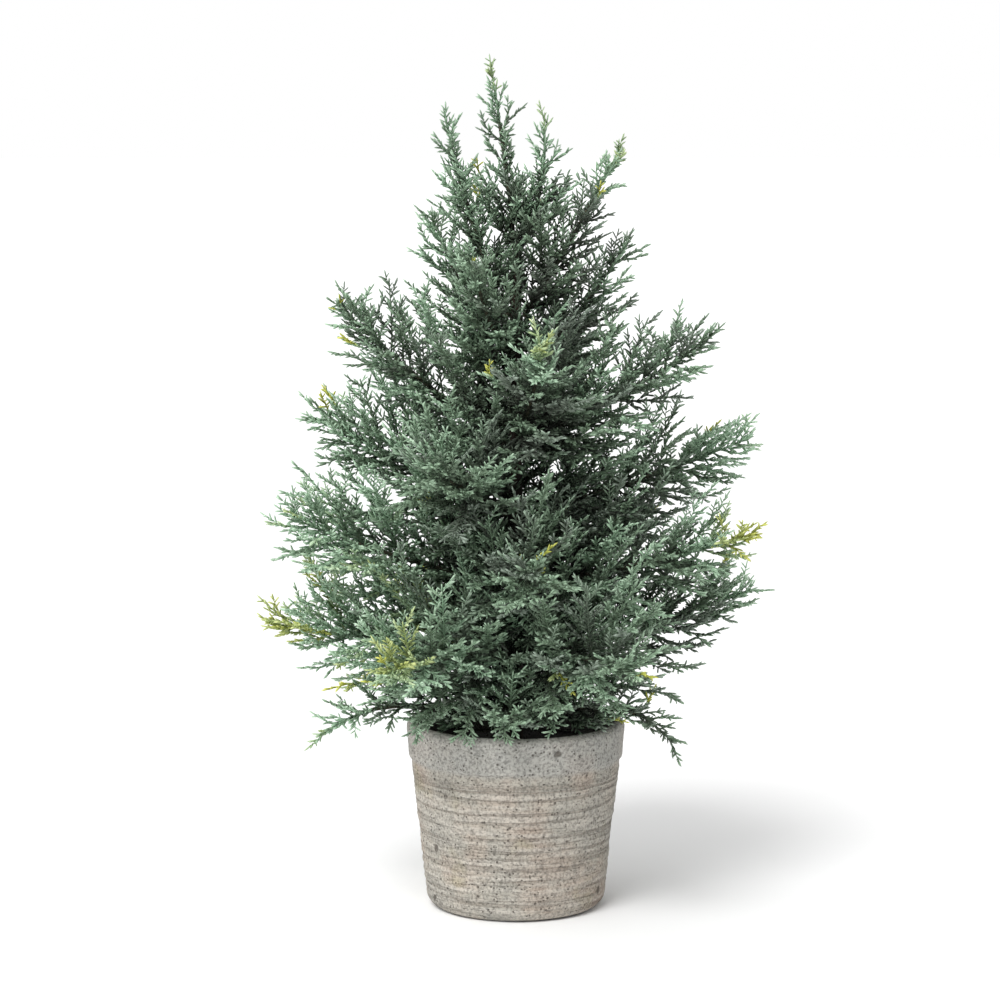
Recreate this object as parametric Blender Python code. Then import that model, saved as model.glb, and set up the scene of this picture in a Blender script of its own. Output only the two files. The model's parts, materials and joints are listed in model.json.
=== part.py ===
"""Artificial tabletop conifer in a round cement pot.

A steel rod stands in a plaster plug at the bottom of the pot. A brown plastic
trunk is pushed over the rod, and wire branches spring from it in seven tiers,
each carrying a spray of moulded foliage. A short leader tops the trunk. Every
branch, and the leader, bends at its root.

Metres, +Z up. The origin is the centre of the pot's underside.
"""

import math
from collections import namedtuple

import bmesh
import bpy
from mathutils import Vector

# Clearance between pieces that touch on the real object.
GAP = 0.0003

# Pot: a turned cement shell with a raised band under its lip.
POT_HEIGHT = 0.112
POT_RIM_RADIUS = 0.065
POT_BASE_RADIUS = 0.0532
POT_WALL = 0.008
POT_FLOOR = 0.010
POT_FOOT_ROUND = 0.008
POT_SIDES = 48
BAND_HEIGHT = 0.022
BAND_STEP = 0.0016
BAND_FLARE = 0.0013

# What fills the pot, from the bottom up.
BALLAST_DEPTH = 0.024
BALLAST_BORE_DEPTH = 0.018
SOIL_THICKNESS = 0.008
SOIL_BELOW_RIM = 0.017
SOIL_MOUND = 0.003

# Trunk: steel rod inside a tapering plastic sleeve.
STEM_HEIGHT = 0.273
ROD_RADIUS = 0.0016
SLEEVE_BASE_RADIUS = 0.005
SLEEVE_TOP_RADIUS = 0.0032
STEM_SIDES = 16

# Branches: a wire with a round root that turns beside the trunk, and a flat
# spindle of foliage pushed over the outer end of the wire.
CROWN_REACH = 0.150
LEADER_LENGTH = 0.122
WIRE_RADIUS = 0.0011
ROOT_RADIUS = 0.0021
BRANCH_SIDES = 8
FOLIAGE_START = 0.017
FOLIAGE_HALF_WIDTH = 0.029
FOLIAGE_HALF_THICKNESS = 0.0095
FOLIAGE_SKIN = 0.0016
LEADER_HALF_WIDTH = 0.016
LEADER_HALF_THICKNESS = 0.014
RIM_MARGIN = 0.006

# How far along the foliage the wire reaches, at each of its bends.
WIRE_STATIONS = (0.0, 0.2, 0.4, 0.6)
# Where the foliage changes section, as shares of its length.
FOLIAGE_STATIONS = (0.0, 0.12, 0.28, 0.46, 0.64, 0.82, 1.0)
# Angles round the root ball at which the wire has a ring, in degrees.
ROOT_RING_ANGLES = (155, 120, 88, 58)

Tier = namedtuple("Tier", "name height width arms")
Arm = namedtuple("Arm", "azimuth reach rise tip_rise")

# Height is a share of the trunk above the rim, width a share of the foliage's
# half width, and reach a share of CROWN_REACH. Angles are in degrees: azimuth
# counter-clockwise from +X, rise from level at the root and at the tip.
TIERS = (
    Tier("skirt", 0.030, 1.0, (
        Arm(204, 0.88, 5, -42),
        Arm(266, 0.66, 6, -40),
        Arm(325, 0.80, 5, -64),
        Arm(72, 0.82, 6, -50),
    )),
    Tier("low", 0.155, 1.0, (
        Arm(178, 0.97, 3, 10),
        Arm(238, 0.90, 6, 0),
        Arm(300, 0.88, 6, 0),
        Arm(3, 0.98, 9, 22),
        Arm(108, 0.92, 6, 4),
    )),
    Tier("lower_middle", 0.300, 1.0, (
        Arm(195, 0.96, 14, 26),
        Arm(273, 0.80, 12, 14),
        Arm(343, 1.00, 10, 21),
        Arm(58, 0.94, 12, 18),
    )),
    Tier("middle", 0.452, 1.0, (
        Arm(10, 0.99, 14, 22),
        Arm(100, 0.88, 20, 28),
        Arm(165, 0.91, 22, 34),
        Arm(242, 0.82, 20, 26),
    )),
    Tier("upper_middle", 0.606, 0.9, (
        Arm(340, 0.93, 26, 37),
        Arm(62, 0.82, 34, 42),
        Arm(193, 0.92, 36, 46),
        Arm(280, 0.76, 34, 46),
    )),
    Tier("upper", 0.758, 0.8, (
        Arm(20, 0.72, 45, 56),
        Arm(145, 0.76, 54, 66),
        Arm(245, 0.68, 46, 62),
    )),
    Tier("crown", 0.885, 0.65, (
        Arm(194, 0.86, 68, 79),
        Arm(350, 0.80, 58, 64),
    )),
)
LEADER = Arm(180, None, 84, 80)


def material(name, colour, roughness, metallic=0.0):
    """A plain Principled material."""
    made = bpy.data.materials.new(name)
    made.use_nodes = True
    shader = made.node_tree.nodes["Principled BSDF"]
    shader.inputs["Base Color"].default_value = (*colour, 1.0)
    shader.inputs["Roughness"].default_value = roughness
    shader.inputs["Metallic"].default_value = metallic
    made.diffuse_color = (*colour, 1.0)
    return made


def loft(name, rings, surface, closed=False):
    """Skin equal rings in order. The end rings are capped, or joined if closed."""
    shell = bmesh.new()
    rows = [[shell.verts.new(point) for point in ring] for ring in rings]
    following = rows[1:] + rows[:1] if closed else rows[1:]
    for row, after in zip(rows, following):
        for i in range(len(row)):
            j = (i + 1) % len(row)
            shell.faces.new((row[i], row[j], after[j], after[i]))
    if not closed:
        shell.faces.new(reversed(rows[0]))
        shell.faces.new(rows[-1])
    mesh = bpy.data.meshes.new(name)
    shell.to_mesh(mesh)
    shell.free()
    mesh.shade_smooth()
    mesh.set_sharp_from_angle(angle=math.radians(40))
    mesh.materials.append(surface)
    made = bpy.data.objects.new(name, mesh)
    bpy.context.collection.objects.link(made)
    return made


def turned(name, profile, sides, surface, closed=False):
    """Turn (radius, height) points about the Z axis."""
    turns = [2 * math.pi * i / sides for i in range(sides)]
    rings = [
        [Vector((radius * math.cos(a), radius * math.sin(a), height)) for a in turns]
        for radius, height in profile
    ]
    return loft(name, rings, surface, closed)


def arc(centre, radius, start, end, steps):
    """Points on an arc in the (radius, height) plane, angles in degrees."""
    points = []
    for i in range(steps + 1):
        a = math.radians(start + (end - start) * i / steps)
        points.append((centre[0] + radius * math.cos(a), centre[1] + radius * math.sin(a)))
    return points


# Levels and radii that several pieces share.
BALLAST_TOP = POT_FLOOR + GAP + BALLAST_DEPTH
SOIL_TOP = POT_HEIGHT - SOIL_BELOW_RIM
SOIL_BOTTOM = SOIL_TOP - SOIL_THICKNESS
SLEEVE_BOTTOM = BALLAST_TOP + GAP
TRUNK_TOP = POT_HEIGHT + STEM_HEIGHT


def pot_inner_radius(height):
    """Radius of the pot's inside at a height above its underside."""
    floor_radius = POT_BASE_RADIUS - POT_WALL
    rim_radius = POT_RIM_RADIUS - POT_WALL
    share = (height - POT_FLOOR) / (POT_HEIGHT - POT_WALL / 2 - POT_FLOOR)
    return floor_radius + (rim_radius - floor_radius) * share


def sleeve_radius(height):
    """Outer radius of the trunk sleeve at a height above the pot's underside."""
    share = (height - SLEEVE_BOTTOM) / (TRUNK_TOP - SLEEVE_BOTTOM)
    return SLEEVE_BASE_RADIUS + (SLEEVE_TOP_RADIUS - SLEEVE_BASE_RADIUS) * share


def make_pot(surface):
    lip = POT_WALL / 2
    band_foot = POT_HEIGHT - BAND_HEIGHT
    band_radius = POT_RIM_RADIUS - BAND_FLARE
    foot_centre = (POT_BASE_RADIUS - POT_FOOT_ROUND, POT_FOOT_ROUND)
    lip_centre = (POT_RIM_RADIUS - lip, POT_HEIGHT - lip)
    outside = [
        *arc(foot_centre, POT_FOOT_ROUND, -90, 0, 4),
        (band_radius - BAND_STEP, band_foot - BAND_STEP / 2),
        (band_radius, band_foot + BAND_STEP / 2),
    ]
    inside = [(pot_inner_radius(POT_FLOOR), POT_FLOOR)]
    return turned("pot", outside + arc(lip_centre, lip, 0, 180, 6) + inside, POT_SIDES, surface)


def make_ballast(surface):
    bottom = POT_FLOOR + GAP
    bore = ROD_RADIUS + GAP
    profile = [
        (pot_inner_radius(bottom) - GAP, bottom),
        (pot_inner_radius(BALLAST_TOP) - GAP, BALLAST_TOP),
        (bore, BALLAST_TOP),
        (bore, BALLAST_TOP - BALLAST_BORE_DEPTH),
    ]
    return turned("ballast_plug", profile, POT_SIDES, surface)


def make_filling(name, bottom, top, mound, surface):
    """A disc that fills the pot between two levels, with a hole for the trunk."""
    bore = SLEEVE_BASE_RADIUS + GAP
    profile = [
        (bore, bottom),
        (pot_inner_radius(bottom) - GAP, bottom),
        (pot_inner_radius(top) - GAP, top),
        (pot_inner_radius(top) / 2, top + mound),
        (bore, top + mound),
    ]
    return turned(name, profile, POT_SIDES, surface, closed=True)


def make_rod(surface):
    bottom = BALLAST_TOP - BALLAST_BORE_DEPTH + GAP
    profile = [(ROD_RADIUS, bottom), (ROD_RADIUS, TRUNK_TOP)]
    return turned("trunk_rod", profile, STEM_SIDES, surface)


def make_sleeve(surface):
    bore = ROD_RADIUS + GAP
    profile = [
        (bore, SLEEVE_BOTTOM),
        (SLEEVE_BASE_RADIUS, SLEEVE_BOTTOM),
        (SLEEVE_TOP_RADIUS, TRUNK_TOP),
        (bore, TRUNK_TOP),
    ]
    return turned("trunk_sleeve", profile, STEM_SIDES, surface, closed=True)


Path = namedtuple("Path", "length straight rise turn")


def arm_path(arm, length, straight):
    """A wire that leaves its root straight and then turns evenly to its tip."""
    rise = math.radians(arm.rise)
    turn = (math.radians(arm.tip_rise) - rise) / (length - straight)
    return Path(length, straight, rise, turn)


def along(path, distance):
    """The point and the slope at a distance from the root, in the wire's own plane."""
    straight = min(distance, path.straight)
    bent = distance - straight
    slope = path.rise + path.turn * bent
    x = straight * math.cos(path.rise)
    z = straight * math.sin(path.rise)
    if abs(path.turn * bent) > 1e-6:
        x += (math.sin(slope) - math.sin(path.rise)) / path.turn
        z -= (math.cos(slope) - math.cos(path.rise)) / path.turn
    else:
        x += bent * math.cos(path.rise)
        z += bent * math.sin(path.rise)
    return Vector((x, 0, z)), slope


def section(path, distance, half_width, half_thickness):
    """An elliptical ring square to the path."""
    centre, slope = along(path, distance)
    across = Vector((0, 1, 0))
    upward = Vector((-math.sin(slope), 0, math.cos(slope)))
    turns = [2 * math.pi * i / BRANCH_SIDES for i in range(BRANCH_SIDES)]
    return [
        centre + across * half_width * math.cos(a) + upward * half_thickness * math.sin(a)
        for a in turns
    ]


def wire_distances(path):
    """Where the wire bends inside the foliage, from the root outwards."""
    span = path.length - FOLIAGE_START
    return [FOLIAGE_START + span * share for share in WIRE_STATIONS]


def make_wire(name, path, surface):
    rings = []
    for angle in ROOT_RING_ANGLES:
        a = math.radians(angle)
        ball = ROOT_RADIUS * math.sin(a)
        rings.append(section(path, ROOT_RADIUS * math.cos(a), ball, ball))
    neck = math.sqrt(ROOT_RADIUS**2 - WIRE_RADIUS**2)
    for distance in [neck, *wire_distances(path)]:
        rings.append(section(path, distance, WIRE_RADIUS, WIRE_RADIUS))
    return loft(name, rings, surface)


def make_foliage(name, path, half_width, half_thickness, surface):
    """A flat spindle with a blind hole for the wire."""
    bore = WIRE_RADIUS + GAP
    least = bore + FOLIAGE_SKIN
    depths = wire_distances(path)
    depths[-1] += GAP
    rings = [section(path, depth, bore, bore) for depth in reversed(depths)]
    span = path.length - FOLIAGE_START
    for share in FOLIAGE_STATIONS:
        swell = math.sin(math.pi * share**0.8)
        width = max(half_width * swell, least)
        thickness = max(half_thickness * swell, least)
        rings.append(section(path, FOLIAGE_START + span * share, width, thickness))
    return loft(name, rings, surface)


def make_branch(name, arm, path, root, shape, surfaces):
    """A wire whose origin is its root, with its foliage parented to it."""
    half_width, half_thickness = shape
    wire = make_wire(name + "_wire", path, surfaces["wire"])
    wire.location = root
    wire.rotation_euler = (0, 0, math.radians(arm.azimuth))
    foliage = make_foliage(
        name + "_foliage", path, half_width, half_thickness, surfaces["foliage"]
    )
    foliage.parent = wire
    return wire


def tier_branch(tier, number, arm, surfaces):
    """One branch beside the trunk. Those of the skirt clear the rim before they droop."""
    height = POT_HEIGHT + STEM_HEIGHT * tier.height
    offset = sleeve_radius(height) + GAP + ROOT_RADIUS
    length = CROWN_REACH * arm.reach
    straight = FOLIAGE_START
    if arm.tip_rise < -20:
        straight = (POT_RIM_RADIUS + RIM_MARGIN - offset) / math.cos(math.radians(arm.rise))
        length = max(length, straight + FOLIAGE_START)
    azimuth = math.radians(arm.azimuth)
    root = Vector((offset * math.cos(azimuth), offset * math.sin(azimuth), height))
    path = arm_path(arm, length, straight)
    shape = (FOLIAGE_HALF_WIDTH * tier.width, FOLIAGE_HALF_THICKNESS)
    return make_branch(f"{tier.name}_{number}", arm, path, root, shape, surfaces)


def make_leader(surfaces):
    root = Vector((0, 0, TRUNK_TOP + GAP + ROOT_RADIUS))
    path = arm_path(LEADER, LEADER_LENGTH - ROOT_RADIUS, FOLIAGE_START)
    shape = (LEADER_HALF_WIDTH, LEADER_HALF_THICKNESS)
    return make_branch("leader", LEADER, path, root, shape, surfaces)


def main():
    for old in list(bpy.data.objects):
        bpy.data.objects.remove(old)
    cement = material("cement", (0.52, 0.49, 0.45), 0.95)
    plaster = material("plaster", (0.74, 0.72, 0.68), 0.9)
    foam = material("foam", (0.05, 0.05, 0.05), 0.95)
    soil = material("soil", (0.06, 0.045, 0.035), 0.98)
    steel = material("steel", (0.45, 0.45, 0.46), 0.35, 1.0)
    bark = material("bark", (0.16, 0.10, 0.06), 0.85)
    surfaces = {
        "wire": material("branch_wire", (0.13, 0.12, 0.07), 0.7),
        "foliage": material("foliage", (0.20, 0.30, 0.24), 0.7),
    }
    make_pot(cement)
    make_ballast(plaster)
    make_filling("foam_block", BALLAST_TOP + GAP, SOIL_BOTTOM - GAP, 0, foam)
    make_filling("soil_cover", SOIL_BOTTOM, SOIL_TOP, SOIL_MOUND, soil)
    rod = make_rod(steel)
    sleeve = make_sleeve(bark)
    sleeve.parent = rod
    for tier in TIERS:
        for number, arm in enumerate(tier.arms, start=1):
            tier_branch(tier, number, arm, surfaces).parent = sleeve
    make_leader(surfaces).parent = sleeve


main()
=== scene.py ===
# %% [markdown]
# # An artificial tabletop tree
#
# The real object is a cement pot, a trunk, and wire branches that each carry one moulded
# spray of soft blue-green needles. The frame that this script loads already holds every
# solid part and every bend at its true place and size. This lesson gives those parts their
# looks: needles grown along each branch by Geometry Nodes, a cement pot with the marks of
# the wheel, and a simple studio round them.

import json
import math

import bpy
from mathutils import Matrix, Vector


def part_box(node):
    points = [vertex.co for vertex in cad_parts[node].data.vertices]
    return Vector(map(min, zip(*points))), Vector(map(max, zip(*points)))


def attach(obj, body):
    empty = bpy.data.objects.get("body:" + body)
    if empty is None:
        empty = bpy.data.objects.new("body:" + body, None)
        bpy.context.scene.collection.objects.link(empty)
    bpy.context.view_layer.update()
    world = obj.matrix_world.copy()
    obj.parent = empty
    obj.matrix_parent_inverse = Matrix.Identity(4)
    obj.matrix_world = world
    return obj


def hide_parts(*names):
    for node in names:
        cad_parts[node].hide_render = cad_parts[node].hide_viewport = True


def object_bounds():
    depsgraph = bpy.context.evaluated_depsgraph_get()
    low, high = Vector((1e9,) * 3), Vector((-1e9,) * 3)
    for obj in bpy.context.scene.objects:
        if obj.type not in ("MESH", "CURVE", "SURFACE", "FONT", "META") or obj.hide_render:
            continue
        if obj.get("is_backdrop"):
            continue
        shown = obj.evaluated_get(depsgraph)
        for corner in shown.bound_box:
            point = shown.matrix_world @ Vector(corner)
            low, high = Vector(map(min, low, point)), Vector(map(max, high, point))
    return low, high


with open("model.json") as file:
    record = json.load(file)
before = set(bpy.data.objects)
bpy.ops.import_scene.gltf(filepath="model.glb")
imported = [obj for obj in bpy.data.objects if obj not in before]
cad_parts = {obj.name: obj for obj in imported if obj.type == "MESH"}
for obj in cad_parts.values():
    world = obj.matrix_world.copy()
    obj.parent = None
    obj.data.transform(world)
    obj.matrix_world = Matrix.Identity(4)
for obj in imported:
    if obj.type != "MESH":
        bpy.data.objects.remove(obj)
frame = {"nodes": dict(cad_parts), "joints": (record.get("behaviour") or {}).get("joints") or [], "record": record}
cad_low, cad_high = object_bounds()
record = frame["record"]
joints = {joint["child"]: joint for joint in frame["joints"]}
bodies = record["behaviour"]["bodies"]

# %% [markdown]
# ## Small tools
#
# A few helpers keep the rest short. `srgb` turns a colour as a paint card gives it into the
# linear numbers that a shader wants. `add` makes a node, sets it and wires it in one call.
# `new_tree` starts a tree with named inputs, and `closed` wires its outputs and ends it.

# %% Helpers for colours and trees

SOCKET_KINDS = {float: "Float", int: "Int", tuple: "Vector"}


def srgb(code):
    """Linear RGBA from a code such as '8fb09d'."""
    parts = [int(code[i:i + 2], 16) / 255 for i in (0, 2, 4)]
    linear = [v / 12.92 if v <= 0.04045 else ((v + 0.055) / 1.055) ** 2.4 for v in parts]
    return (*linear, 1.0)


def add(tree, kind, inputs=None, **properties):
    """Make a node. Inputs go by name or number, and are values or other nodes' outputs."""
    node = tree.nodes.new(kind)
    for name, value in properties.items():
        setattr(node, name, value)
    for key, value in (inputs or {}).items():
        if isinstance(value, bpy.types.NodeSocket):
            tree.links.new(value, node.inputs[key])
        else:
            node.inputs[key].default_value = value
    return node


def new_tree(kind, name, inputs, outputs):
    """A tree with named inputs and outputs, and the sockets that its inputs come from.

    An input is given by its usual value, or by its kind where it has none.
    """
    tree = bpy.data.node_groups.new(name, kind + "NodeTree")
    for label, value in inputs.items():
        bare = isinstance(value, str)
        sort = "NodeSocket" + (value if bare else SOCKET_KINDS[type(value)])
        socket = tree.interface.new_socket(label, in_out="INPUT", socket_type=sort)
        if not bare:
            socket.default_value = value
    for label, sort in outputs.items():
        tree.interface.new_socket(label, in_out="OUTPUT", socket_type="NodeSocket" + sort)
    return tree, tree.nodes.new("NodeGroupInput").outputs


def closed(tree, *results):
    """Wire results to a tree's outputs, in order. Returns the tree."""
    sink = tree.nodes.new("NodeGroupOutput")
    for result, socket in zip(results, sink.inputs):
        tree.links.new(result, socket)
    return tree


print("tree helpers ready")

# %% [markdown]
# ## Sums and fields
#
# The trees do a lot of arithmetic, so plain words stand for it: `times`, `plus` and `minus`
# take two numbers or more and work from left to right. The rest read a place or a kept
# value, and keep a new value on the geometry under a name.

# %% Helpers for arithmetic and geometry


def math_node(tree, operation, *values):
    """A Math node's output. Values after the second are taken in one by one."""
    first = dict(enumerate(values[:2]))
    result = add(tree, "ShaderNodeMath", first, operation=operation).outputs[0]
    for value in values[2:]:
        result = add(tree, "ShaderNodeMath", {0: result, 1: value}, operation=operation).outputs[0]
    return result


def times(tree, *values):
    return math_node(tree, "MULTIPLY", *values)


def plus(tree, *values):
    return math_node(tree, "ADD", *values)


def minus(tree, *values):
    return math_node(tree, "SUBTRACT", *values)


def vector(tree, x=0.0, y=0.0, z=0.0):
    return add(tree, "ShaderNodeCombineXYZ", {0: x, 1: y, 2: z}).outputs[0]


def axes(tree, value):
    """The x, y and z of a vector."""
    return add(tree, "ShaderNodeSeparateXYZ", {0: value}).outputs


def vector_math(tree, operation, inputs):
    return add(tree, "ShaderNodeVectorMath", inputs, operation=operation).outputs


def noise(tree, place, scale, detail=2.0, roughness=0.5):
    """Noise from 0 to 1."""
    values = {"Vector": place, "Scale": scale, "Detail": detail, "Roughness": roughness}
    return add(tree, "ShaderNodeTexNoise", values).outputs[0]


def between(tree, value, low, high, to_low=0.0, to_high=1.0):
    """Where a value stands between two others, smoothly."""
    values = {0: value, 1: low, 2: high, 3: to_low, 4: to_high}
    return add(tree, "ShaderNodeMapRange", values, interpolation_type="SMOOTHSTEP").outputs[0]


def geo(tree, kind, inputs=None, **properties):
    """The first output of a geometry node."""
    return add(tree, "GeometryNode" + kind, inputs, **properties).outputs[0]


def along_curve(tree):
    """How far along its curve a point lies, from 0 to 1."""
    return add(tree, "GeometryNodeSplineParameter").outputs["Factor"]


def random_between(tree, low, high, seed):
    """A random number for each point, between two values."""
    values = {2: low, 3: high, 8: seed}
    return add(tree, "FunctionNodeRandomValue", values, data_type="FLOAT").outputs[1]


def stored(tree, geometry, name, value, kind="FLOAT", domain="POINT"):
    """Keep a value on the geometry under a name."""
    values = {"Geometry": geometry, "Name": name, "Value": value}
    return geo(tree, "StoreNamedAttribute", values, data_type=kind, domain=domain)


def recall(tree, name, kind="FLOAT"):
    """Read a kept value back."""
    node = add(tree, "GeometryNodeInputNamedAttribute", {"Name": name}, data_type=kind)
    return node.outputs["Attribute"]


def planted(tree, inputs):
    """Copies on points, made real."""
    return geo(tree, "RealizeInstances", {"Geometry": geo(tree, "InstanceOnPoints", inputs)})


def dressed(tree, geometry, surface):
    """End a tree with real geometry in one material."""
    real = geo(tree, "RealizeInstances", {"Geometry": geometry})
    return closed(tree, geo(tree, "SetMaterial", {"Geometry": real, "Material": surface}))


print("field helpers ready")

# %% [markdown]
# ## The needle
#
# Every needle on the real tree is the same moulded spike: flat, widest well above its
# middle, pointed, and bent a little forward. A cone with three sides and two steps is
# enough, because there are tens of thousands of them. It is kept one unit long, so its size
# is set where it is used. `blade` remembers how far up the needle a point lies and on which
# side, and becomes its texture coordinates later.

# %% The needle tree

NEEDLE_SHOULDER = 0.72
NEEDLE_WAIST = 0.9
NEEDLE_BELLY = 2.0
NEEDLE_FLATNESS = 0.65
NEEDLE_HOOK = 0.06


def needle_tree():
    """One closed needle, a unit long, standing on the origin along +Z."""
    tree, source = new_tree("Geometry", "needle", {"Slimness": 0.1}, {"Needle": "Geometry"})
    cone = geo(tree, "MeshCone", {
        "Vertices": 3, "Side Segments": 2, "Radius Top": 0.0,
        "Radius Bottom": source["Slimness"], "Depth": 1.0,
    }, fill_type="NGON")
    x, y, z = axes(tree, geo(tree, "InputPosition"))
    middle = times(tree, z, minus(tree, 1.0, z))
    swell = plus(tree, NEEDLE_WAIST, times(tree, middle, 4 * (NEEDLE_BELLY - NEEDLE_WAIST)))
    raised = times(tree, middle, 4 * (NEEDLE_SHOULDER - 0.5))
    hook = times(tree, z, z, NEEDLE_HOOK)
    wide = times(tree, y, swell)
    bent = plus(tree, times(tree, x, swell, NEEDLE_FLATNESS), hook)
    side = plus(tree, 0.5, times(tree, y, 4.0))
    marked = stored(tree, cone, "blade", vector(tree, z, side, 1.0), "FLOAT_VECTOR")
    shaped = vector(tree, bent, wide, plus(tree, z, raised))
    moved = geo(tree, "SetPosition", {"Geometry": marked, "Position": shaped})
    return closed(tree, geo(tree, "SetShadeSmooth", {"Geometry": moved}))


NEEDLE = needle_tree()
print("needle tree has", len(NEEDLE.nodes), "nodes")

# %% [markdown]
# ## Shoots along a curve
#
# A spray repeats one rule: limbs leave the branch, with a collar of short ones at its root,
# sprigs leave the limbs, and needles leave everything. Each time something starts at even
# steps along a curve, turned round it by a fixed angle and leaning forward. One tree holds
# that rule, and the spray uses it four times with its own numbers.

# %% The shoots tree


def shoots_tree():
    """Put copies of a shoot along curves, each longer near the curve's start."""
    tree, source = new_tree("Geometry", "shoots", {
        "Curves": "Geometry", "Shoot": "Geometry", "Spacing": 0.01, "Start": 0.0,
        "Turn": math.pi, "Turn Jitter": 0.3, "Spread": 0.7, "Closing": 0.3,
        "Spread Jitter": 0.15, "Length": 0.01, "End Share": 0.5, "Fullness": 1.0,
        "Length Jitter": 0.15, "Age Jitter": 0.0, "Seed": 0,
    }, {"Shoots": "Geometry"})

    def luck(jitter, step, middle=0.0):
        """A number at most a jitter away from a middle, with its own step of the seed."""
        low, high = minus(tree, middle, source[jitter]), plus(tree, middle, source[jitter])
        return random_between(tree, low, high, plus(tree, source["Seed"], step))

    marked = stored(tree, source["Curves"], "along", along_curve(tree))
    steps = {"Curve": marked, "Length": source["Spacing"]}
    steps = add(tree, "GeometryNodeCurveToPoints", steps, mode="LENGTH").outputs
    here = recall(tree, "along")
    turn = plus(tree, times(tree, geo(tree, "InputIndex"), source["Turn"]), luck("Turn Jitter", 0.0))
    closing = minus(tree, 1.0, times(tree, here, source["Closing"]))
    lean = plus(tree, times(tree, source["Spread"], closing), luck("Spread Jitter", 1.0))
    facing = steps["Rotation"]
    for angles in (vector(tree, z=turn), vector(tree, y=lean)):
        turned = add(tree, "FunctionNodeEulerToRotation", {0: angles}).outputs[0]
        turned = {0: facing, 1: turned}
        facing = add(tree, "FunctionNodeRotateRotation", turned, rotation_space="LOCAL").outputs[0]
    late = math_node(tree, "POWER", here, source["Fullness"])
    taper = minus(tree, 1.0, times(tree, late, minus(tree, 1.0, source["End Share"])))
    length = times(tree, source["Length"], taper, luck("Length Jitter", 2.0, 1.0))
    kept = stored(tree, steps["Points"], "forward", steps["Tangent"], "FLOAT_VECTOR")
    kept = stored(tree, kept, "reach", length)
    kept = stored(tree, kept, "age", plus(tree, recall(tree, "age"), luck("Age Jitter", 3.0)))
    return closed(tree, planted(tree, {
        "Points": kept,
        "Selection": math_node(tree, "GREATER_THAN", here, source["Start"]),
        "Instance": source["Shoot"],
        "Rotation": facing,
        "Scale": vector(tree, length, length, length),
    }))


SHOOTS = shoots_tree()
print("shoots tree has", len(SHOOTS.nodes), "nodes")

# %% [markdown]
# ## Bending the shoots
#
# Moulded sprays never stick out dead straight. Each limb sweeps forward along its branch and
# lifts a little towards the light. Every point moves by the square of its place along the
# shoot, so the root stays put. `exposure` is 0 deep inside by the wood and about 1 at the
# outer tips. The colours read it: its low end is painted shade for the inside of the spray,
# and its high end is the real paler tips. Along a shoot it is pulled from its parent's
# exposure towards a goal.

# %% The bending tree


def bend_tree():
    """Sweep realized shoots forward and up, and pull their exposure, which sets painted shade, towards a goal."""
    tree, source = new_tree("Geometry", "bend", {
        "Curves": "Geometry", "Sweep": 0.3, "Lift": 0.1, "Age Goal": 0.85, "Age Pull": 1.0,
    }, {"Curves": "Geometry"})
    along = along_curve(tree)
    reach = times(tree, recall(tree, "reach"), times(tree, along, along))
    forward = vector_math(tree, "SCALE", {
        0: recall(tree, "forward", "FLOAT_VECTOR"), "Scale": times(tree, reach, source["Sweep"])})
    upward = vector(tree, z=times(tree, reach, source["Lift"]))
    offset = vector_math(tree, "ADD", {0: forward[0], 1: upward})[0]
    moved = geo(tree, "SetPosition", {"Geometry": source["Curves"], "Offset": offset})
    gap = minus(tree, source["Age Goal"], recall(tree, "age"))
    pulled = times(tree, gap, times(tree, along, source["Age Pull"]))
    return closed(tree, stored(tree, moved, "age", plus(tree, recall(tree, "age"), pulled)))


BEND = bend_tree()
print("bending tree has", len(BEND.nodes), "nodes")

# %% [markdown]
# ## The pieces of a spray
#
# Small trees of nodes that the spray calls again and again: a straight line to bend into a
# shoot, a stem round a curve, a needle at each tip, and luck that is the same all along one
# curve, so that a whole limb is paler or golden.

# %% Helpers for the spray

TIP_NEEDLE_LEAST = 0.85
GOLD_FADE = 2.6


def group(tree, inner, inputs):
    """Use one tree inside another."""
    return geo(tree, "Group", inputs, node_tree=inner)


def unit_line(tree, points):
    """A curve one unit long, standing on the origin, with a number of points."""
    line = geo(tree, "CurvePrimitiveLine", {"Start": (0, 0, 0), "End": (0, 0, 1)})
    return geo(tree, "ResampleCurve", {"Curve": line, "Count": points}, mode="COUNT")


def stem(tree, curve, radius, tip_share, sides):
    """A closed tapering tube along curves."""
    shrink = times(tree, along_curve(tree), 1.0 - tip_share)
    width = times(tree, minus(tree, 1.0, shrink), radius)
    circle = geo(tree, "CurvePrimitiveCircle", {"Resolution": sides, "Radius": 1.0})
    profile = stored(tree, circle, "blade", vector(tree, y=along_curve(tree)), "FLOAT_VECTOR")
    return geo(tree, "CurveToMesh", {
        "Curve": curve, "Profile Curve": profile, "Scale": width, "Fill Caps": True})


def tip_needles(tree, curve, needle, length, seed):
    """One needle straight on from the end of each curve."""
    tangent = {"Vector": geo(tree, "InputTangent")}
    size = random_between(tree, times(tree, length, TIP_NEEDLE_LEAST), length, seed)
    return planted(tree, {
        "Points": curve,
        "Selection": geo(tree, "CurveEndpointSelection", {"Start Size": 0, "End Size": 1}),
        "Instance": needle,
        "Rotation": add(tree, "FunctionNodeAlignRotationToVector", tangent, axis="Z").outputs[0],
        "Scale": vector(tree, size, size, size),
    })


def joined(tree, *parts):
    """Join geometry, in order."""
    node = tree.nodes.new("GeometryNodeJoinGeometry")
    for part in reversed(parts):
        tree.links.new(part, node.inputs[0])
    return node.outputs[0]


def curve_luck(tree, low, high, seed):
    """A random number that is the same all along each curve."""
    luck = {0: random_between(tree, low, high, seed)}
    return geo(tree, "FieldOnDomain", luck, domain="CURVE", data_type="FLOAT")


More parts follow.
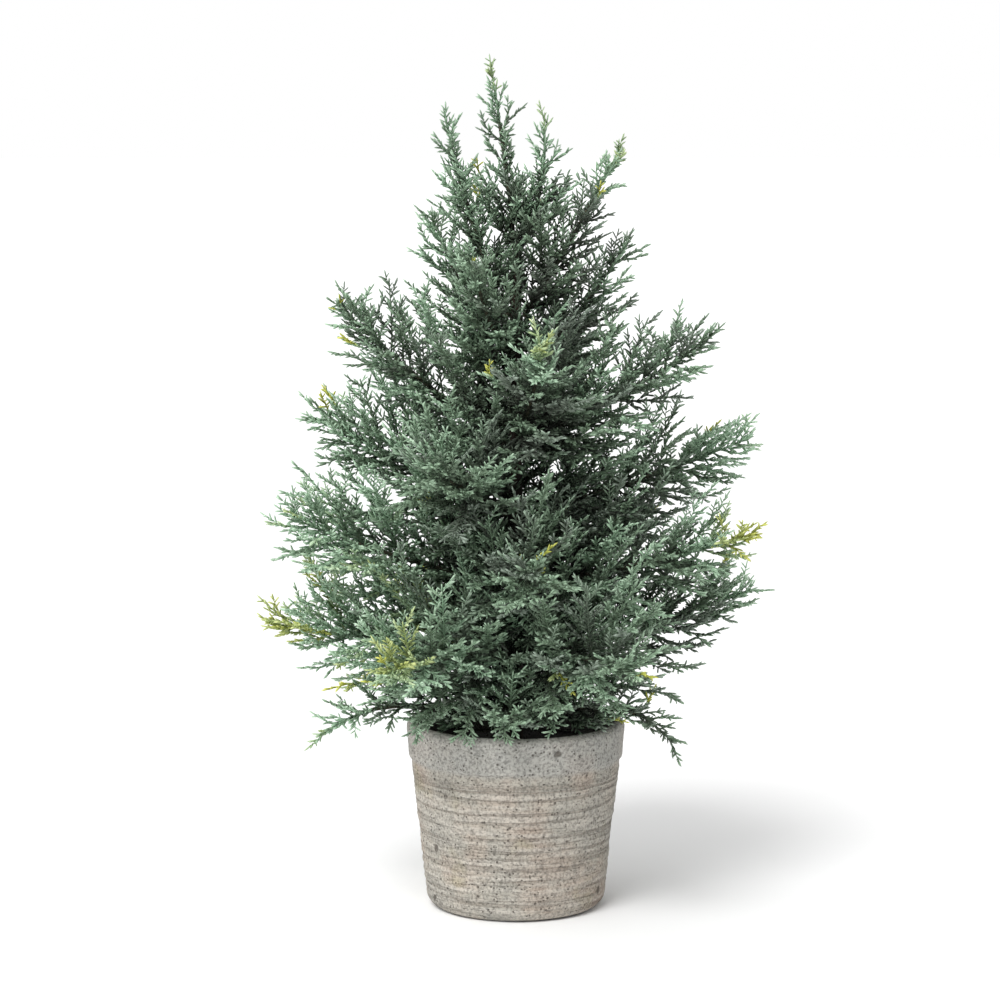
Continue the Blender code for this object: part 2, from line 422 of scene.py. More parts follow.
def jittered(tree, geometry, name, amount, seed):
    """Nudge a kept number, by one random step for each curve."""
    nudge = curve_luck(tree, -amount, amount, seed)
    return stored(tree, geometry, name, plus(tree, recall(tree, name), nudge))


def gilded(tree, geometry, chance, seed):
    """Turn the outer part of a few curves gold, chosen by luck."""
    chosen = math_node(tree, "LESS_THAN", curve_luck(tree, 0.0, 1.0, seed), chance)
    gold = times(tree, chosen, math_node(tree, "POWER", along_curve(tree), GOLD_FADE))
    return stored(tree, geometry, "gold", math_node(tree, "MAXIMUM", recall(tree, "gold"), gold))


print("spray helpers ready")

# %% [markdown]
# ## One whole spray
#
# The spray tree takes the centre line of a branch and grows it: limbs on the branch, a
# collar of short limbs round its root, sprigs on the limbs, needles on everything, and a
# thin stem along every curve. Its last steps give each point a texture coordinate. Across
# the page goes the exposure, from painted shade at the wood to the tips, up the page goes
# the tone of the spray, and gold tips sit at the top of the page. The colour of a needle is
# then a plain function of that coordinate, which survives any kind of export.

# %% The spray tree

GREEN_PAGE = 0.6
GOLD_PAGE = 0.95
GOLDEN_ANGLE = math.radians(137.5)
AXIS_STEP = 0.004
# These set how far out a point sits. The foliage colours turn its low end into painted shade for the inside of the
# spray.
AXIS_TIP_EXPOSURE = 0.62
COLLAR_SPACING = 0.0034
BLADE_EXPOSURE = 0.16
BLADE_SHIFT = 0.02
EXPOSURE_SCALE = 0.8
# Each stem's radius at its root, its tip as a share of that, and its sides.
AXIS_STEM, LIMB_STEM, SPRIG_STEM = (0.0013, 0.4, 6), (0.00065, 0.6, 4), (0.00045, 0.6, 3)


def spray_tree():
    """The whole spray of one branch, from its centre line."""
    tree, source = new_tree("Geometry", "spray", {
        "Centre Line": "Geometry", "Bare Share": 0.02,
        "Limb Spacing": 0.0042, "Limb Length": 0.06, "Limb Spread": math.radians(66),
        "Fullness": 1.0,
        "Collar Share": 0.2, "Collar Length": 0.034, "Collar Spread": math.radians(80),
        "Sprig Spacing": 0.0060, "Sprig Length": 0.0125,
        "Needle Spacing": 0.0016, "Needle Length": 0.0062, "Needle Slimness": 0.152,
        "Lift": 0.1, "Gold": 0.0, "Gold Limbs": 0.03, "Tone": 0.5,
        "Seed": 1, "Foliage": "Material",
    }, {"Spray": "Geometry"})

    def seeded(step):
        return plus(tree, times(tree, source["Seed"], 97.0), float(step))

    smooth = {"Curve": source["Centre Line"]}
    smooth = geo(tree, "CurveSplineType", smooth, spline_type="CATMULL_ROM")
    axis = geo(tree, "ResampleCurve", {"Curve": smooth, "Length": AXIS_STEP}, mode="LENGTH")
    along = along_curve(tree)
    axis = stored(tree, axis, "age", times(tree, along, AXIS_TIP_EXPOSURE))
    axis = stored(tree, axis, "tone", source["Tone"])
    gold = times(tree, between(tree, along, 0.5, 1.0), source["Gold"])
    axis = stored(tree, axis, "gold", gold)

    limbs = group(tree, SHOOTS, {
        "Curves": axis, "Shoot": unit_line(tree, 9), "Spacing": source["Limb Spacing"],
        "Start": source["Bare Share"], "Turn": GOLDEN_ANGLE, "Turn Jitter": 0.5,
        "Spread": source["Limb Spread"], "Closing": 0.2, "Spread Jitter": 0.24,
        "Length": source["Limb Length"], "End Share": 0.06, "Fullness": source["Fullness"],
        "Length Jitter": 0.46, "Seed": seeded(10),
    })
    root_end = {"Curve": axis, "Start": 0.0, "End": source["Collar Share"]}
    collar = group(tree, SHOOTS, {
        "Curves": geo(tree, "TrimCurve", root_end, mode="FACTOR"), "Shoot": unit_line(tree, 9),
        "Spacing": COLLAR_SPACING, "Start": -1.0, "Turn": GOLDEN_ANGLE, "Turn Jitter": 0.4,
        "Spread": source["Collar Spread"], "Closing": 0.1, "Spread Jitter": 0.15,
        "Length": source["Collar Length"], "End Share": 0.9, "Length Jitter": 0.25,
        "Seed": seeded(60),
    })
    limbs = group(tree, BEND, {
        "Curves": limbs, "Sweep": 0.14, "Lift": source["Lift"], "Age Goal": 0.8, "Age Pull": 1.0})
    collar = group(tree, BEND, {
        "Curves": collar, "Sweep": 0.26, "Lift": source["Lift"], "Age Goal": 0.62, "Age Pull": 1.0})
    limbs = jittered(tree, joined(tree, limbs, collar), "tone", 0.4, seeded(15))
    limbs = gilded(tree, limbs, source["Gold Limbs"], seeded(16))

    sprigs = group(tree, SHOOTS, {
        "Curves": joined(tree, axis, limbs), "Shoot": unit_line(tree, 4),
        "Spacing": source["Sprig Spacing"], "Start": 0.1, "Turn": math.pi, "Turn Jitter": 0.75,
        "Spread": math.radians(50), "Closing": 0.2, "Spread Jitter": 0.15,
        "Length": source["Sprig Length"], "End Share": 0.5, "Length Jitter": 0.3,
        "Age Jitter": 0.08, "Seed": seeded(20),
    })
    sprigs = group(tree, BEND, {
        "Curves": sprigs, "Sweep": 0.2, "Lift": 0.05, "Age Goal": 1.0, "Age Pull": 0.5})
    sprigs = jittered(tree, sprigs, "tone", 0.18, seeded(30))

    needle = group(tree, NEEDLE, {"Slimness": source["Needle Slimness"]})
    everything = joined(tree, axis, limbs, sprigs)
    needles = group(tree, SHOOTS, {
        "Curves": everything, "Shoot": needle, "Spacing": source["Needle Spacing"],
        "Start": 0.14, "Turn": math.pi, "Turn Jitter": 0.7, "Spread": math.radians(46),
        "Closing": 0.15, "Spread Jitter": 0.2, "Length": source["Needle Length"],
        "End Share": 0.72, "Length Jitter": 0.2, "Age Jitter": 0.16, "Seed": seeded(40),
    })
    tips = tip_needles(tree, everything, needle, source["Needle Length"], seeded(50))
    carriers = ((axis, AXIS_STEM), (limbs, LIMB_STEM), (sprigs, SPRIG_STEM))
    stems = joined(tree, *(stem(tree, curve, *form) for curve, form in carriers))
    stems = geo(tree, "SetShadeSmooth", {"Geometry": stems})
    spray = joined(tree, stems, needles, tips)

    blade = axes(tree, recall(tree, "blade", "FLOAT_VECTOR"))
    # Painted shade: the foot of each needle and the points deep in the spray get the dark end of the foliage
    # colours.
    age = plus(tree, recall(tree, "age"), times(tree, blade[0], BLADE_EXPOSURE))
    ripe = recall(tree, "gold")
    green = times(tree, times(tree, recall(tree, "tone"), GREEN_PAGE), minus(tree, 1.0, ripe))
    page_up = plus(tree, green, times(tree, ripe, GOLD_PAGE), times(tree, blade[1], BLADE_SHIFT))
    inside = {1: 0.0, 2: 1.0, 3: 0.01, 4: 0.99}
    across, page_up = (
        add(tree, "ShaderNodeMapRange", {0: value, **inside}).outputs[0]
        for value in (times(tree, age, EXPOSURE_SCALE), page_up))
    spray = stored(tree, spray, "OFBake", vector(tree, across, page_up), "FLOAT2", "CORNER")
    return dressed(tree, spray, source["Foliage"])


SPRAY = spray_tree()
print("spray tree has", len(SPRAY.nodes), "nodes")

# %% [markdown]
# ## Shared surface effects
#
# Cement, plaster, foam, soil, bark and metal all show some of the same things: a fine grain,
# lines drawn out in one direction, and small holes. Each effect is a shader node group made
# once and used with different numbers. The groups put out masks and shades only, and the
# shader stays in the material.

# %% Shader helpers and the three effect groups


def mixed(tree, factor, first, second, blend="MIX"):
    """Two colours mixed. A colour is a code or another node's output."""
    first, second = (srgb(c) if isinstance(c, str) else c for c in (first, second))
    values = {0: factor, 6: first, 7: second}
    return add(tree, "ShaderNodeMix", values, data_type="RGBA", blend_type=blend).outputs[2]


def ramp(tree, factor, stops):
    """Colours along a scale: stops are (place, code)."""
    node = add(tree, "ShaderNodeValToRGB", {0: factor})
    steps = node.color_ramp.elements
    while len(steps) < len(stops):
        steps.new(0.5)
    for step, (place, code) in zip(steps, stops):
        step.position = place
        step.color = srgb(code)
    return node.outputs[0]


def grain_group():
    """Fine grain: a shade to multiply a colour by, and a height."""
    tree, source = new_tree(
        "Shader", "grain", {"Vector": "Vector", "Scale": 900.0, "Contrast": 0.3},
        {"Shade": "Color", "Height": "Float"})
    fine = noise(tree, source["Vector"], source["Scale"], 3.0, 0.65)
    dark = minus(tree, 1.0, source["Contrast"])
    level = plus(tree, dark, times(tree, between(tree, fine, 0.32, 0.62), source["Contrast"]))
    grey = add(tree, "ShaderNodeCombineColor", {0: level, 1: level, 2: level}).outputs[0]
    return closed(tree, grey, fine)


def streak_group():
    """Lines drawn out in one direction, as a mask from 0 to 1."""
    tree, source = new_tree("Shader", "streaks", {
        "Vector": "Vector", "Stretch": (1.0, 1.0, 12.0), "Scale": 24.0, "Low": 0.4, "High": 0.6,
    }, {"Mask": "Float"})
    drawn = vector_math(tree, "MULTIPLY", {0: source["Vector"], 1: source["Stretch"]})[0]
    lines = noise(tree, drawn, source["Scale"], 4.0, 0.6)
    return closed(tree, between(tree, lines, source["Low"], source["High"]))


def pore_group():
    """Scattered round holes, as a mask from 0 to 1."""
    tree, source = new_tree("Shader", "pores", {
        "Vector": "Vector", "Scale": 300.0, "Share": 0.3, "Width": 0.2}, {"Mask": "Float"})
    wobble = noise(tree, source["Vector"], times(tree, source["Scale"], 2.0))
    cells = {"Vector": source["Vector"], "Scale": source["Scale"]}
    cells = add(tree, "ShaderNodeTexVoronoi", cells).outputs
    luck = add(tree, "ShaderNodeSeparateColor", {0: cells["Color"]}).outputs[0]
    chosen = math_node(tree, "LESS_THAN", luck, source["Share"])
    ragged = plus(tree, cells["Distance"], times(tree, minus(tree, wobble, 0.5), 0.35))
    half = times(tree, source["Width"], 0.5)
    return closed(tree, times(tree, between(tree, ragged, half, source["Width"], 1.0, 0.0), chosen))


GRAIN, STREAKS, PORES = grain_group(), streak_group(), pore_group()
print("effect groups", [g.name for g in (GRAIN, STREAKS, PORES)])

# %% [markdown]
# ## Making a finish
#
# Every finish starts the same way and ends the same way. It looks up the place on the piece,
# mixes its colours, darkens them by the grain, and turns a height into fine relief. Most of
# the plain parts are one colour with marks in a second, so one function makes them all.

# %% Helpers for finishes


def effect(tree, inner, place, **inputs):
    """Use an effect group. Returns its outputs."""
    return add(tree, "ShaderNodeGroup", {"Vector": place, **inputs}, node_tree=inner).outputs


def new_material(name, **plain):
    """A material with its tree, its shader and object coordinates."""
    surface = bpy.data.materials.new(name)
    surface.use_nodes = True
    tree = surface.node_tree
    shader = next(n for n in tree.nodes if n.type == "BSDF_PRINCIPLED")
    for key, value in plain.items():
        shader.inputs[key.replace("_", " ")].default_value = value
    return surface, tree, shader.inputs, add(tree, "ShaderNodeTexCoord").outputs["Object"]


def painted(tree, shader, colour, shade=None):
    """Give the shader its colour, darkened by a shade if there is one."""
    if shade is not None:
        colour = mixed(tree, 1.0, colour, shade, "MULTIPLY")
    tree.links.new(colour, shader["Base Color"])


def set_bump(tree, shader, height, distance, strength=1.0):
    """Drive the shader's normal from a height."""
    values = {"Height": height, "Distance": distance, "Strength": strength}
    tree.links.new(add(tree, "ShaderNodeBump", values).outputs[0], shader["Normal"])


def two_tone(name, roughness, inner, marks, colours, grain, rise, bump):
    """One colour with marks in a second, over a grain.

    Rise is how far the marks and the grain stand out, and bump is a distance and a strength.
    """
    surface, tree, shader, place = new_material(name, Roughness=roughness)
    mask = effect(tree, inner, place, **marks)[0]
    grain = effect(tree, GRAIN, place, Scale=grain[0], Contrast=grain[1])
    painted(tree, shader, mixed(tree, mask, *colours), grain["Shade"])
    height = plus(tree, times(tree, mask, rise[0]), times(tree, grain["Height"], rise[1]))
    set_bump(tree, shader, height, *bump)
    return surface


print("finish helpers ready")

# %% [markdown]
# ## The foliage finish
# The needles are moulded plastic, tinted in the mould and then dusted paler from outside, so
# the tips are pale. Towards the wood they are painted nearly black-green, as painted shade for
# the deep inside of the spray. Some sprays lean to blue-grey, some to mint, and a few are gold.
# The page coordinate holds all of that already, so the material only looks colours up:
# exposure across, tone upwards.

# %% The foliage material


def foliage_finish():
    surface, tree, shader, _ = new_material("needle_plastic", Roughness=0.62, IOR=1.46)
    page = add(tree, "ShaderNodeUVMap", uv_map="OFBake").outputs[0]
    age, tone, _ = axes(tree, page)
    # Each ramp runs from painted shade near the wood, nearly black, to the real paler dusted tips.
    slate, green, mint = (
        ramp(tree, age, list(zip((0.08, 0.3, 0.6, 0.9), codes.split())))
        for codes in ("15120c 353a31 667264 9baa9c", "15120b 3a4536 748b71 aac7aa",
                      "1b1a12 536750 96b698 cce5cb"))
    gold = ramp(tree, age, [(0.08, "22260f"), (0.35, "76803a"), (0.65, "b4ba50"), (0.9, "dfe078")])
    colour = mixed(tree, between(tree, tone, 0.04, GREEN_PAGE * 0.5), slate, green)
    colour = mixed(tree, between(tree, tone, GREEN_PAGE * 0.5, GREEN_PAGE), colour, mint)
    colour = mixed(tree, between(tree, tone, GREEN_PAGE + 0.02, GOLD_PAGE), colour, gold)
    painted(tree, shader, colour)
    return surface


needle_plastic = foliage_finish()
print("foliage material has", len(needle_plastic.node_tree.nodes), "nodes")

# %% [markdown]
# ## The centre line of each branch
#
# The wires and their sprays are already solid in the frame, so nothing is placed by eye. A
# wire is a row of rings: the centres of the rings are the centre line. The last stretch
# comes from the rings of the foliage solid, out to just short of its tip, because the last
# needles reach past the end of the stem.

# %% Read the centre lines

TIP_ALLOWANCE = 0.01
TIP_ALLOWANCE_SHARE = 0.6
RING_GAP = 0.003
# The foliage solid's rings count from this share of the way to its tip.
OUTER_SHARE = 0.25


def ring_centres(points, origin, direction):
    """Centres of the rings of points that follow each other along a direction."""
    ordered = sorted(points, key=lambda point: (point - origin).dot(direction))
    rings = [[ordered[0]]]
    for point in ordered[1:]:
        if (point - rings[-1][-1]).dot(direction) > RING_GAP:
            rings.append([])
        rings[-1].append(point)
    return [sum(ring, Vector()) / len(ring) for ring in rings]


def farthest(points, origin):
    return max(points, key=lambda point: (point - origin).length)


def centre_line(name, root):
    """Points from the root of a branch to just short of its tip."""
    wire, leaf = ([v.co.copy() for v in frame["nodes"][name + part].data.vertices]
                  for part in ("_wire", "_foliage"))
    heading = (farthest(wire, root) - root).normalized()
    line = [root, *ring_centres(wire, root, heading)[1:]]
    end = line[-1]
    tip = farthest(leaf, root)
    heading = (tip - end).normalized()
    outer = [p for p in leaf if (p - end).dot(heading) > OUTER_SHARE * (tip - end).length]
    line += ring_centres(outer, end, heading)
    last = line[-1] - line[-2]
    line[-1] = line[-1] - last.normalized() * min(TIP_ALLOWANCE, TIP_ALLOWANCE_SHARE * last.length)
    return line


branches = {}
for body in bodies:
    if body != "pot_and_trunk":
        name = body.removesuffix("_branch")
        branches[name] = (body, centre_line(name, Vector(joints[body]["pos_m"])))
lengths = {
    name: sum((b - a).length for a, b in zip(line, line[1:]))
    for name, (body, line) in branches.items()
}
print("branches", len(branches), "points", {len(line) for _, line in branches.values()})
print("shortest", round(min(lengths.values()), 4), "longest", round(max(lengths.values()), 4))

# %% [markdown]
# ## The habit of each branch
#
# The inputs of the spray tree differ from branch to branch. The crown's shoots are slim and
# steep, so that they stand apart, and the lower tiers are full. Some branches are paler,
# some have golden tips, and some had thinner sprays than their neighbours.

# %% The numbers for every tier and branch

GOLD_SPRAYS = {
    "leader": 0.65, "low_1": 0.7, "lower_middle_1": 0.15, "lower_middle_3": 0.95,
    "crown_2": 0.75, "middle_1": 0.6, "skirt_1": 0.66, "low_4": 0.45, "low_2": 0.72,
    "upper_middle_4": 0.8,
}
PALE_SPRAYS = {
    "low_1": 0.9, "lower_middle_1": 0.75, "low_2": 0.6, "middle_3": 0.65, "upper_2": 0.6,
    "upper_3": 0.65, "crown_1": 0.75, "leader": 0.55,
}
# The tone of all other sprays wanders about a middle.
USUAL_TONE, TONE_SWING, TONE_STEP = 0.36, 0.12, 2.4
HABIT_INPUTS = (
    "Limb Spacing", "Limb Length", "Fullness", "Limb Spread",
    "Collar Length", "Collar Spread", "Sprig Length",
)
HABITS = {
    "leader": (0.0046, 0.22, 1.0, 40, 0.03, 34, 0.011),
    "crown": (0.0041, 0.31, 0.9, 44, 0.032, 60, 0.012),
    "upper": (0.0035, 0.38, 1.0, 50, 0.036, 74, 0.013),
    "upper_middle": (0.0031, 0.45, 1.2, 54, 0.038, 80, 0.013),
    "middle": (0.0029, 0.49, 1.3, 56, 0.04, 80, 0.014),
    "lower_middle": (0.0027, 0.52, 1.4, 57, 0.04, 80, 0.014),
    "low": (0.0026, 0.52, 1.5, 57, 0.04, 80, 0.014),
    "skirt": (0.0034, 0.43, 1.2, 54, 0.02, 60, 0.012),
}
# How far the limbs of a tier turn up, as a share of their length.
LIFTS = {"leader": 0.0, "low": 0.28, "skirt": 0.34}
USUAL_LIFT = 0.12
# The limbs of a thinner spray are this share of their usual length.
SLIM_SPRAYS = {
    "upper_middle_1": 0.9, "middle_1": 0.8, "lower_middle_3": 0.66, "low_4": 0.7,
    "low_1": 0.8, "skirt_1": 0.5, "skirt_2": 0.75, "skirt_3": 0.5, "skirt_4": 0.7,
}
# The leader forks at its root. The second shoot's points, as shares of the leader's length.
FORK = ((0, 0, 0), (0.05, -0.02, 0.1), (0.12, -0.04, 0.31), (0.15, -0.04, 0.52), (0.15, -0.03, 0.72))
print("tiers", len(HABITS), "golden", len(GOLD_SPRAYS), "pale", len(PALE_SPRAYS))

# %% [markdown]
# ## Growing the sprays
#
# Each centre line becomes a curve object with the spray tree as its modifier. The modifier's
# result is then taken as one plain mesh for each body. It stands for the foliage solid of
# that branch, which only physics needs. The leader's curve has a second line, so its spray
# forks into two upright shoots.

# %% Grow one spray on every branch

KEPT_LAYERS = ("position", "OFBake", "material_index")


def grown(name, curve, tree, values):
    """The plain mesh that a tree makes from a curve, as a new object at the origin."""
    modifier = curve.modifiers.new(name, "NODES")
    modifier.node_group = tree
    for item in tree.interface.items_tree:
        if item.item_type == "SOCKET" and item.in_out == "INPUT" and item.name in values:
            modifier[item.identifier] = values[item.name]
    graph = bpy.context.evaluated_depsgraph_get()
    graph.update()
    mesh = bpy.data.meshes.new_from_object(curve.evaluated_get(graph))
    for layer in list(mesh.attributes):
        if layer.name not in KEPT_LAYERS and not layer.is_internal and not layer.is_required:
            mesh.attributes.remove(layer)
    mesh.name = name
    bpy.data.objects.remove(curve)
    piece = bpy.data.objects.new(name, mesh)
    bpy.context.collection.objects.link(piece)
    return piece


def line_object(*lines, weights=None):
    """A curve object with a line through each set of points.

    Weights go into the radius of the points.
    """
    curve = bpy.data.curves.new("line", "CURVE")
    curve.dimensions = "3D"
    for points in lines:
        spline = curve.splines.new("POLY")
        spline.points.add(len(points) - 1)
        for i, point in enumerate(points):
            spline.points[i].co = (*point, 1.0)
            spline.points[i].radius = weights[i] if weights else 1.0
    holder = bpy.data.objects.new("line", curve)
    bpy.context.collection.objects.link(holder)
    return holder


triangles = 0
for number, (name, (body, line)) in enumerate(branches.items()):
    length, tier = lengths[name], name.rstrip("_0123456789")
    habit = dict(zip(HABIT_INPUTS, HABITS[tier]))
    habit["Limb Length"] *= length * SLIM_SPRAYS.get(name, 1.0)
    for angle in ("Limb Spread", "Collar Spread"):
        habit[angle] = math.radians(habit[angle])
    lines = [line]
    if name == "leader":
        lines.append([line[0] + length * Vector(share) for share in FORK])
    tone = USUAL_TONE + TONE_SWING * math.sin(number * TONE_STEP)
    spray = grown(name + "_spray", line_object(*lines), SPRAY, {
        **habit,
        "Lift": LIFTS.get(tier, USUAL_LIFT),
        "Gold": GOLD_SPRAYS.get(name, 0.0),
        "Tone": PALE_SPRAYS.get(name, tone),
        "Seed": number + 1,
        "Foliage": needle_plastic,
    })
    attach(spray, body)
    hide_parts(name + "_foliage")
    triangles += sum(len(face.vertices) - 2 for face in spray.data.polygons)
print("sprays", len(branches), "triangles", triangles)

# %% [markdown]
# ## Turned pieces
#
# The pot was shaped on a wheel and the trunk was wound and rolled, so both are a profile
# turned round an axis with ridges that wander a little. The tree below rolls a flat grid
# into that shape: one way of the grid goes round, the other follows the profile. The radius
# stored on each profile point says how strongly the ridges show there.

# %% The turning tree

MERGE_DISTANCE = 2e-6


def turning_tree():
    """Turn a profile curve (x is the radius, z the height) into a closed solid."""
    tree, source = new_tree("Geometry", "turning", {
        "Profile": "Geometry", "Sides": 200, "Rows": 300, "Ridge Depth": 0.0005,
        "Ridge Stretch": (14.0, 14.0, 260.0), "Dent Depth": 0.0005, "Dent Scale": 30.0,
        "Surface": "Material",
    }, {"Solid": "Geometry"})
    grid = geo(tree, "MeshGrid", {
        "Size X": 1.0, "Size Y": 1.0,
        "Vertices X": plus(tree, source["Sides"], 1.0), "Vertices Y": source["Rows"]})
    flat = axes(tree, geo(tree, "InputPosition"))
    turn = times(tree, plus(tree, flat[0], 0.5), math.tau)
    sample = {"Curves": source["Profile"], "Value": geo(tree, "InputRadius"),
              "Factor": plus(tree, flat[1], 0.5)}
    sample = add(tree, "GeometryNodeSampleCurve", sample, mode="FACTOR", data_type="FLOAT").outputs
    radius, _, height = axes(tree, sample["Position"])
    cosine, sine = math_node(tree, "COSINE", turn), math_node(tree, "SINE", turn)

    def placed(radius):
        return vector(tree, times(tree, radius, cosine), times(tree, radius, sine), height)

    smooth = placed(radius)
    drawn = vector_math(tree, "MULTIPLY", {0: smooth, 1: source["Ridge Stretch"]})[0]
    ridge = minus(tree, noise(tree, drawn, 1.0, 3.0, 0.6), 0.5)
    dent = minus(tree, noise(tree, smooth, source["Dent Scale"], 1.0), 0.5)
    push = plus(tree, times(tree, ridge, source["Ridge Depth"]),
                times(tree, dent, source["Dent Depth"]))
    push = times(tree, push, times(tree, sample["Value"], 2.0))
    rolled = geo(tree, "SetPosition", {
        "Geometry": grid, "Position": placed(plus(tree, radius, push))})
    whole = geo(tree, "MergeByDistance", {"Geometry": rolled, "Distance": MERGE_DISTANCE})
    return dressed(tree, geo(tree, "SetShadeSmooth", {"Geometry": whole}), source["Surface"])


TURNING = turning_tree()
print("turning tree has", len(TURNING.nodes), "nodes")

# %% [markdown]
# ## The pot's finish
#
# The pot is cement with sand in it, wiped while it was wet. That leaves a warm pale grey
# with pink and ochre clouds, darker lines where the ribs are, a fine sandy grain, and many
# small dark holes with a few large ones. The band at the top was pressed smooth and stayed
# greyer, and it is also painted lighter, as painted light against the shadow of the foliage
# that hangs over it. The inside is painted nearly black, as painted shade.

# %% The cement material

BAND_FOOT = 0.0905
TOOL_LINE = 0.081
# The inner face's radius at the height of the foot, and how much it grows with height.
INNER_FOOT, INNER_SLOPE = 0.0475, 0.12


def cement_finish():
    surface, tree, shader, place = new_material("cement", Roughness=0.93, IOR=1.45)
    x, y, z = axes(tree, place)

    def over(base, mask, share, code):
        """A colour laid over another where a mask says so."""
        return mixed(tree, times(tree, mask, share), base, code)

    clouds = noise(tree, place, 26.0, 4.0, 0.6)
    colour = ramp(tree, clouds, [(0.3, "9d9b94"), (0.45, "b3aea3"), (0.56, "baafa2"), (0.7, "ad9d8f")])
    wall = between(tree, z, BAND_FOOT - 0.012, BAND_FOOT + 0.001, 1.0, 0.0)
    lines = times(tree, wall, effect(
        tree, STREAKS, place, Stretch=(1.0, 1.0, 13.0), Scale=22.0, Low=0.38, High=0.62)[0])
    colour = over(colour, lines, 0.5, "d2ccc2")
    grooves = effect(tree, STREAKS, place, Stretch=(1.0, 1.0, 40.0), Scale=12.0, Low=0.51, High=0.63)[0]
    grooves = times(tree, grooves, times(tree, wall, 0.75))
    height = plus(tree, z, times(tree, noise(tree, place, 30.0, 2.0), 0.003))
    away = math_node(tree, "ABSOLUTE", minus(tree, height, TOOL_LINE))
    grooves = math_node(tree, "MAXIMUM", grooves, between(tree, away, 0.0002, 0.0009, 1.0, 0.0))
    colour = over(colour, grooves, 0.5, "7f7468")
    stain = between(tree, noise(tree, place, 34.0, 2.0), 0.62, 0.74)
    colour = over(colour, stain, 0.35, "a49c74")
    # Painted light: the band is mixed lighter to offset the shadow that the foliage casts on it. Its greyer hue is
    # the real pressed cement.
    band = between(tree, z, BAND_FOOT - 0.004, BAND_FOOT + 0.001)
    colour = over(colour, band, 0.6, "b4b4b0")
    grain = effect(tree, GRAIN, place, Scale=620.0, Contrast=0.5)
    colour = mixed(tree, 1.0, colour, grain["Shade"], "MULTIPLY")
    holes = math_node(tree, "MAXIMUM", *(
        effect(tree, PORES, place, Scale=scale, Share=share, Width=width)[0]
        for scale, share, width in ((620.0, 0.14, 0.42), (270.0, 0.09, 0.26), (84.0, 0.08, 0.22))))
    colour = over(colour, holes, 0.75, "4d463d")
    # Painted shade: the inner face above the soil is mixed nearly black.
    radius = math_node(tree, "SQRT", plus(tree, times(tree, x, x), times(tree, y, y)))
    inner_face = plus(tree, times(tree, z, INNER_SLOPE), INNER_FOOT)
    inside = between(tree, minus(tree, inner_face, radius), -0.001, 0.002)
    painted(tree, shader, over(colour, inside, 0.8, "2b2822"))
    height = plus(tree, times(tree, lines, 0.5), grain["Height"])
    height = minus(tree, height, times(tree, grooves, 0.9), times(tree, holes, 1.2))
    set_bump(tree, shader, height, 0.0009)
    return surface


cement = cement_finish()
print("cement has", len(cement.node_tree.nodes), "nodes")

# %% [markdown]
# ## The pot
#
# One profile runs from the middle of the foot, round the foot, up the ribbed wall, over the
# step of the band, round the rim and down inside to the floor. The ribs are strong on the
# wall, faint on the pressed band, and gone under the foot so that the pot stands flat.

# %% Turn the pot

POT_WALL = 0.008
FOOT_RADIUS = 0.0532
FOOT_ROUND = 0.008
WALL_STEPS = 12
# How far the band's underside and its lower edge stand in from the rim.
UNDER_BAND, BAND_EDGE = 0.0029, 0.0013
# How much narrower the inside is at the floor than at the rim.
INSIDE_TAPER = 0.0118
FIT_GAP = 0.0003


def quarter(centre_x, centre_z, radius, start, stop, steps=8):
    """Points on an arc in the profile's plane, in degrees."""
    angles = [math.radians(start + (stop - start) * i / steps) for i in range(steps + 1)]
    return [(centre_x + radius * math.cos(a), centre_z + radius * math.sin(a)) for a in angles]


def pot_profile():
    """(radius, height, ridge weight) round the wall of the pot."""
    low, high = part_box("pot")
    height, rim = high.z, high.x
    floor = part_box("ballast_plug")[0].z - FIT_GAP
    half = POT_WALL / 2
    foot = quarter(FOOT_RADIUS - FOOT_ROUND, FOOT_ROUND, FOOT_ROUND, -90, 0)
    lip = quarter(rim - half, height - half, half, 0, 180, 14)
    under_band = (rim - UNDER_BAND, BAND_FOOT - BAND_EDGE)
    points = [(0.0, 0.0, 0.0)]
    points += [(r, z, 0.0 if z < 0.001 else 0.5) for r, z in foot]
    for i in range(1, WALL_STEPS):
        share = i / WALL_STEPS
        r = FOOT_RADIUS + (under_band[0] - FOOT_RADIUS) * share
        z = FOOT_ROUND + (under_band[1] - FOOT_ROUND) * share
        points.append((r, z, 1.1 - 0.5 * share))
    points += [(*under_band, 0.35), (rim - BAND_EDGE, BAND_FOOT + 0.0004, 0.3)]
    points += [(r, z, 0.22) for r, z in lip]
    points += [(rim - POT_WALL - INSIDE_TAPER, floor, 0.0), (0.0, floor, 0.0)]
    return points


def turned(name, profile, values):
    """A solid of revolution from (radius, height, ridge weight) points."""
    line = line_object([(r, 0.0, z) for r, z, _ in profile], weights=[w for _, _, w in profile])
    return grown(name, line, TURNING, values)


pot = turned("pot_body", pot_profile(), {
    "Sides": 240, "Rows": 340,
    "Ridge Depth": 0.0016, "Ridge Stretch": (13.0, 13.0, 270.0),
    "Dent Depth": 0.0012, "Dent Scale": 34.0,
    "Surface": cement,
})
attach(pot, "pot_and_trunk")
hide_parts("pot")
print("pot faces", len(pot.data.polygons), "width", round(pot.dimensions.x, 4))

# %% [markdown]
# ## The trunk
#
# The trunk is a steel rod in a moulded sleeve. Little of it shows between the sprays, and
# what shows is brown and furrowed lengthwise. The turning tree makes it as well: the ridges
# are drawn out upwards instead of round.

# %% The bark finish and the trunk sleeve

